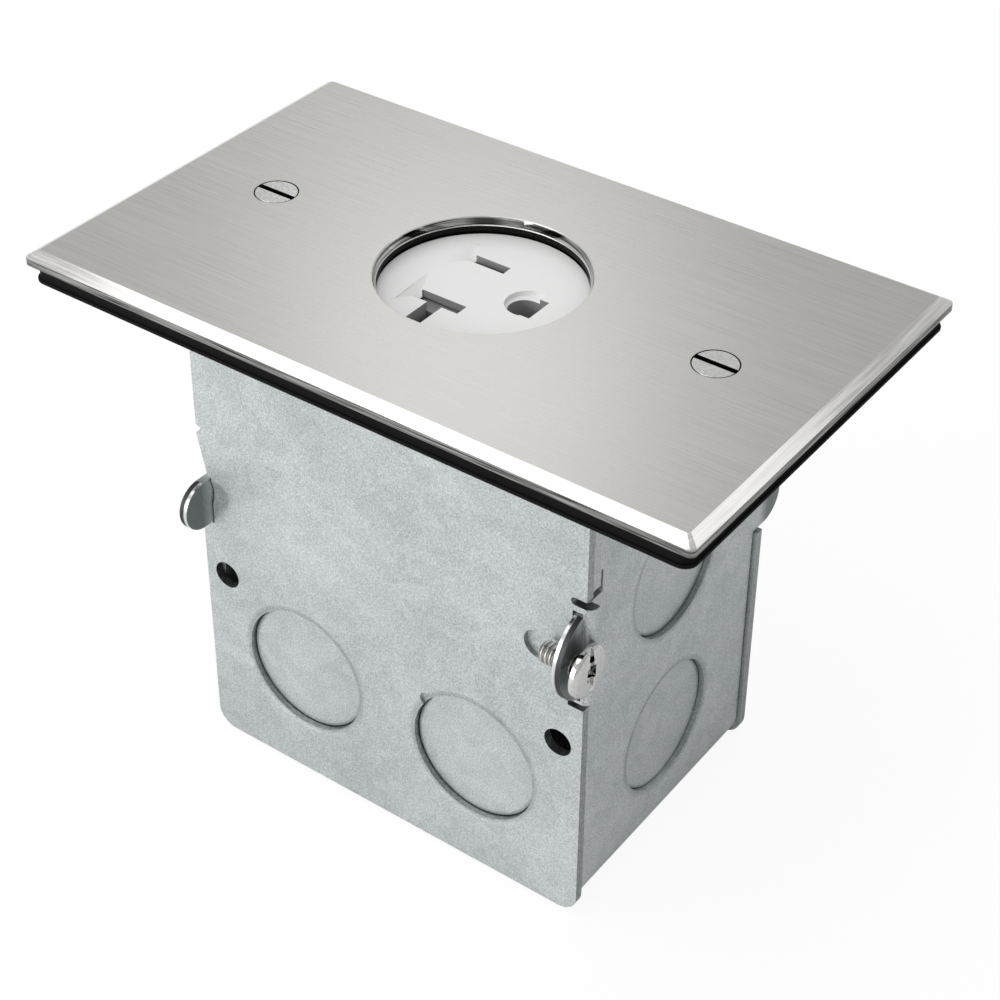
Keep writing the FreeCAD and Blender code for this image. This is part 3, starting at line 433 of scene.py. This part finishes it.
# %% Cover plate
COVER_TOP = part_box("cover_plate")[1][2]
OPENING_REACH = 25 * MM
MIRROR_BAND = (0.16 * MM, 1.28 * MM)     # depths under the top
UNDERCUT_FROM = 1.50 * MM
SCREW_X = sum(corner[0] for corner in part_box("cover_screw_right")) / 2
SINK_REACH = 5 * MM
SQUARELY = 0.999                         # shares of a normal along an axis
NEARLY = 0.9
MOSTLY = 0.5
BARELY = 0.1


def cover_finish(face):
    """0 satin top, 1 buffed bevel and lip, 2 sheared edge, 3 band of painted reflection, 4 undercut and
    sinks in painted shade.
    """
    centre = face.calc_center_median()
    if face.normal.z > SQUARELY:
        return 0
    if math.hypot(abs(centre.x) - SCREW_X, centre.y) < SINK_REACH:
        return 4
    if math.hypot(centre.x, centre.y) < OPENING_REACH and abs(face.normal.z) < NEARLY:
        depth = COVER_TOP - centre.z
        if MIRROR_BAND[0] < depth < MIRROR_BAND[1]:
            return 3
        return 4 if depth > UNDERCUT_FROM else 1
    return 1 if face.normal.z > BARELY else 2


finished("cover_plate", [SATIN, BUFFED, SHEARED, TURNED_REFLECTION, UNDERCUT_SHADE], edge_mm=0.06,
         choose=cover_finish)

# %% [markdown]
# The gasket shows as a black line under the plate. Rubber is moulded and has rounder edges than
# sheared steel, so its bevel is wider.

# %% Gasket
finished("cover_gasket", [RUBBER], edge_mm=0.18)

# %% [markdown]
# The socket's face has a polished front, and a pocket behind each slot. The mould leaves the walls
# of a pocket rough, so they hardly shine, and they are coloured grey as painted shade seen from above.
# They are told from the front by where they look and how deep they lie, and get that finish of their
# own. The shutter closes the slots from behind and is coloured grey as painted shade deep in the
# slots, and the dark base stays out of sight inside the box.

# %% Socket face, shutter and base
POCKET_DEPTH = 0.6 * MM
POCKET_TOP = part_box("receptacle_face")[1][2] - POCKET_DEPTH
FACE_REACH = 13.5 * MM


def face_finish(face):
    """0 polished face, 1 walls inside the slots, rough, and grey as painted shade."""
    centre = face.calc_center_median()
    inside = math.hypot(centre.x, centre.y) < FACE_REACH and centre.z < POCKET_TOP
    return 1 if inside and abs(face.normal.z) < MOSTLY else 0


finished("receptacle_face", [NYLON, POCKET_SHADE], edge_mm=0.16, choose=face_finish, segments=3)
finished("shutter", [SHUTTER_SHADE], edge_mm=0.1)
finished("receptacle_base", [PHENOLIC], edge_mm=0.2)

# %% [markdown]
# Most screws are plated bright. The line terminal's is brass and the earth screws are dyed green,
# so that nobody mixes up the wires. The two clamp screws also show their threads through the
# pressed dimple beside them. A thread is a ridge that returns every 0.8 mm, so a wave along X tilts
# the surface of the shank by that pitch, while the head stays smooth. The wave texture turns by 20
# radians per unit, so its scale is a full turn over 20 pitches.

# %% Screws
THREAD_PITCH = 0.8 * MM
WAVE_TURN = 20


def threaded_metal():
    """Bright plating over a thread that runs along X, darker in its roots as painted shade."""
    material, tree, output = new_material("nickel_plated_thread")
    place = add(tree, "ShaderNodeTexCoord").outputs["Object"]
    ridges = add(tree, "ShaderNodeTexWave", {
        "Vector": place, "Scale": 2 * math.pi / (WAVE_TURN * THREAD_PITCH)},
        bands_direction="X").outputs["Fac"]
    tilt = add(tree, "ShaderNodeBump", {"Height": ridges, "Strength": 0.9, "Distance": 0.25 * MM})
    shader = add(tree, "ShaderNodeBsdfPrincipled", {
        # Darker in the roots of the thread: painted shade.
        "Base Color": between(tree, ridges, "8F8D89", "DEDCD9"), "Metallic": 1.0,
        "Roughness": spread(tree, ridges, 0.30, 0.18), "Normal": tilt.outputs["Normal"]})
    tree.links.new(shader.outputs[0], output.inputs["Surface"])
    return material


THREAD = threaded_metal()
HEAD_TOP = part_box("cover_screw_right")[1][2]
SLOT_DEPTHS = (0.1 * MM, 1.2 * MM)       # under the top of the head
SLOT_REACH = 1.5 * MM
PAN_HEAD = 1.45 * MM                     # height of a clamp screw's head


def slot_finish(face):
    """0 plated screw, 1 walls and floor of the driver slot, coloured near black as painted shade."""
    centre = face.calc_center_median()
    across = math.hypot(abs(centre.x) - SCREW_X, centre.y)
    return 1 if SLOT_DEPTHS[0] < HEAD_TOP - centre.z < SLOT_DEPTHS[1] and across < SLOT_REACH else 0


for screw in ("cover_screw_left", "cover_screw_right"):
    finished(screw, [NICKEL, UNDERCUT_SHADE], edge_mm=0.1, choose=slot_finish, segments=3)
for screw in ("neutral_terminal_screw", "receptacle_screws"):
    finished(screw, [NICKEL], edge_mm=0.1, segments=3)
for screw, outward in (("front_clamp_screw", 1), ("rear_clamp_screw", -1)):
    low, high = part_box(screw)
    head_x = (high[0] if outward > 0 else low[0]) - outward * PAN_HEAD
    finished(screw, [NICKEL, THREAD], edge_mm=0.1, segments=3,
             choose=lambda face: 1 if face.calc_center_median().x * outward < head_x * outward else 0)
finished("line_terminal_screw", [BRASS], edge_mm=0.1)
for screw in ("earth_terminal_screw", "box_earth_screw"):
    finished(screw, [GREEN], edge_mm=0.1)

# %% [markdown]
# The contacts are stamped from brass, which springs well and carries current, and so is the clamp
# plate on the line side. The one on the neutral side is plated white, so that an electrician can
# tell the two apart. The strap is zinc plated steel. All of them hide in the closed box, and are
# finished because a moved shutter or an opened box shows them.

# %% Contacts, clamp plates and strap
for contact in ("line_contact", "neutral_contact", "ground_contact", "line_clamp_plate"):
    finished(contact, [BRASS], edge_mm=0.06)
finished("neutral_clamp_plate", [NICKEL], edge_mm=0.08)
finished("mounting_strap", [ZINC], edge_mm=0.12)

# %% [markdown]
# A sheet that was punched before it was bent shows what the punch did. The broad faces carry the
# zinc, the cut edges of the side panels are darker, and the ears that stand out through the panels
# show the bright and the torn band on their rims, while their flat faces are coloured dark grey as
# painted shade. The place and the direction of a face tell which of these it is.

# %% Steel box, side panels and knockouts
EAR_CLEARANCE = 1.05 * MM                # farther outside the discs there are only the ears
EARS_FROM = abs(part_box("front_knockouts")[0][1]) + EAR_CLEARANCE
BOTTOM_REACH = 10 * MM
TONGUE_X = 38.4 * MM


def body_finish(face):
    """0 end walls, 1 bottom, 2 flat of an ear outside the panels, painted shade, 3 rim of an ear."""
    centre = face.calc_center_median()
    if abs(centre.y) > EARS_FROM:
        return 2 if abs(face.normal.x) > MOSTLY else 3
    return 1 if abs(face.normal.z) > NEARLY and centre.z < BOTTOM_REACH else 0


def panel_finish(face):
    """0 broad faces and tongue, 1 cut edges."""
    cut = abs(face.normal.y) < MOSTLY and abs(face.calc_center_median().x) < TONGUE_X
    return 1 if cut else 0


finished("box_body", [ENDS, BOTTOM, EAR_FLAT_SHADE, PUNCHED], edge_mm=0.16, choose=body_finish)
for sheet in ("front_side_panel", "rear_side_panel"):
    finished(sheet, [SIDES, CUT_EDGE], edge_mm=0.16, choose=panel_finish)
for discs, zinc in (("front_knockouts", SIDES), ("rear_knockouts", SIDES), ("end_knockouts", ENDS),
                    ("bottom_knockouts", BOTTOM)):
    finished(discs, [zinc], edge_mm=0.16)

# %% [markdown]
# The stage is a white floor under soft studio light. A product picture keeps only a breath of
# shadow, so what the camera sees of the floor is mixed with plain white, while the object is lit by
# the floor as it is, and mirrors it.

# %% Floor
WASH = 0.88                              # share of plain white in what the camera sees
DUST = 333 * MM
FLOOR_REACH = 6.0
FLOOR_GAP = 0.3 * MM


def floor_material():
    """Matt white studio floor, washed towards pure white where the camera looks at it."""
    material, tree, output = new_material("studio_floor")
    place = add(tree, "ShaderNodeTexCoord").outputs["Object"]
    dust = add(tree, "ShaderNodeTexNoise", {"Vector": place, "Scale": 1 / DUST}).outputs["Fac"]
    shader = add(tree, "ShaderNodeBsdfPrincipled", {
        "Base Color": between(tree, dust, "F7F7F7", "FBFBFB"), "Roughness": 0.9})
    white = add(tree, "ShaderNodeEmission", {"Color": (1.0, 1.0, 1.0, 1.0), "Strength": 1.03})
    seen = add(tree, "ShaderNodeLightPath").outputs["Is Camera Ray"]
    both = add(tree, "ShaderNodeMixShader", {0: spread(tree, seen, 0.0, WASH), 1: shader.outputs[0],
                                             2: white.outputs[0]})
    tree.links.new(both.outputs[0], output.inputs["Surface"])
    return material


floor_shape = bmesh.new()
bmesh.ops.create_grid(floor_shape, x_segments=1, y_segments=1, size=FLOOR_REACH)
floor_mesh = bpy.data.meshes.new("floor")
floor_shape.to_mesh(floor_mesh)
floor_shape.free()
floor_mesh.materials.append(floor_material())
floor = bpy.data.objects.new("floor", floor_mesh)
floor.location.z = -FLOOR_GAP
bpy.context.scene.collection.objects.link(floor)
print("floor:", 2 * FLOOR_REACH, "m wide")

# %% [markdown]
# Metal shows what it mirrors, so each light is placed for the surface that mirrors it. A small soft
# panel behind on the left lies in the cover's mirror direction, so the brushed top is brightest in
# the middle and falls off to its corners. A panel overhead fills the front bevel, and one behind on
# the right fills the near half of the end bevel. A key in front lights the long wall under the
# cover, and is low, so that the cover hardly mirrors it to a viewer who looks down on it.

# %% Lights
AIM = Vector((0, 0, 60)) * MM


def soft_light(name, place, size, watts):
    """Square area light that faces the object."""
    lamp = bpy.data.lights.new(name, "AREA")
    lamp.size = size
    lamp.energy = watts
    made = bpy.data.objects.new(name, lamp)
    made.location = place
    made.rotation_euler = (Vector(place) - AIM).to_track_quat("Z", "Y").to_euler()
    bpy.context.scene.collection.objects.link(made)


soft_light("key_front_left", (-0.42, -1.05, 0.32), size=0.7, watts=6.3)
soft_light("cover_panel", (-0.62, 0.82, 0.845), size=0.25, watts=0.31)
soft_light("overhead_panel", (-0.27, -0.14, 0.80), size=0.62, watts=0.98)
soft_light("end_bevel_panel", (0.51, 0.84, 0.88), size=0.22, watts=0.09)
print("lights:", len(bpy.data.lights))

# %% [markdown]
# The room is a plain pale glow, a little brighter on the left. In front on the right it is darker,
# because a mirror needs something dark to show: that patch draws the black band inside the opening.
# How closely a direction points at the patch is the dot product of the two, the cosine between them.

# %% Room
ROOM_LIGHT = (0.72, 0.52)                # strength from the left and from the right
ROOM_TURN = 0.8                          # how far across the room the two blend
DARK_WAY = (0.56, -0.81, 0.17)
DARK_PATCH = (0.93, 0.985)               # cosines to that way where the dark sets in and is full
DARK_SHARE = 0.25
world = bpy.data.worlds.new("studio")
bpy.context.scene.world = world
world.use_nodes = True
sky = world.node_tree
sky.nodes.clear()
way = add(sky, "ShaderNodeTexCoord").outputs["Generated"]
across = add(sky, "ShaderNodeSeparateXYZ", {0: way}).outputs["X"]
room = spread(sky, across, *ROOM_LIGHT, -ROOM_TURN, ROOM_TURN)
toward = add(sky, "ShaderNodeVectorMath", {0: way, 1: DARK_WAY}, operation="DOT_PRODUCT")
open_part = spread(sky, toward.outputs["Value"], 1.0, DARK_SHARE, *DARK_PATCH)
strength = add(sky, "ShaderNodeMath", {0: room, 1: open_part}, operation="MULTIPLY").outputs[0]
glow = add(sky, "ShaderNodeBackground", {"Color": (1.0, 1.0, 1.0, 1.0), "Strength": strength})
add(sky, "ShaderNodeOutputWorld", {"Surface": glow.outputs[0]})
print("room light:", *ROOM_LIGHT, "and", DARK_SHARE, "of it in the dark patch")

# %% [markdown]
# The camera stands to the front right and above, as in the photograph. Its place, turn and lens
# were found by matching the straight edges of the cover and the box.

# %% Camera
CAMERA_AT = Vector((171.535, -233.96, 274.578)) * MM
CAMERA_TURN = [math.radians(turn) for turn in (55.396, -0.403, 35.99)]
camera_data = bpy.data.cameras.new("camera")
camera_data.sensor_width = 36.0
camera_data.lens = 80.10
camera_data.shift_y = -0.12
camera = bpy.data.objects.new("camera", camera_data)
camera.location = CAMERA_AT
camera.rotation_euler = Euler(CAMERA_TURN)
bpy.context.scene.collection.objects.link(camera)
bpy.context.scene.camera = camera
bpy.context.scene.view_settings.view_transform = "Standard"
print("camera", round(camera.location.length, 3), "m from the origin")

# %% [markdown]
# The last cell brings the scene up to date.

# %% Finish
bpy.context.view_layer.update()
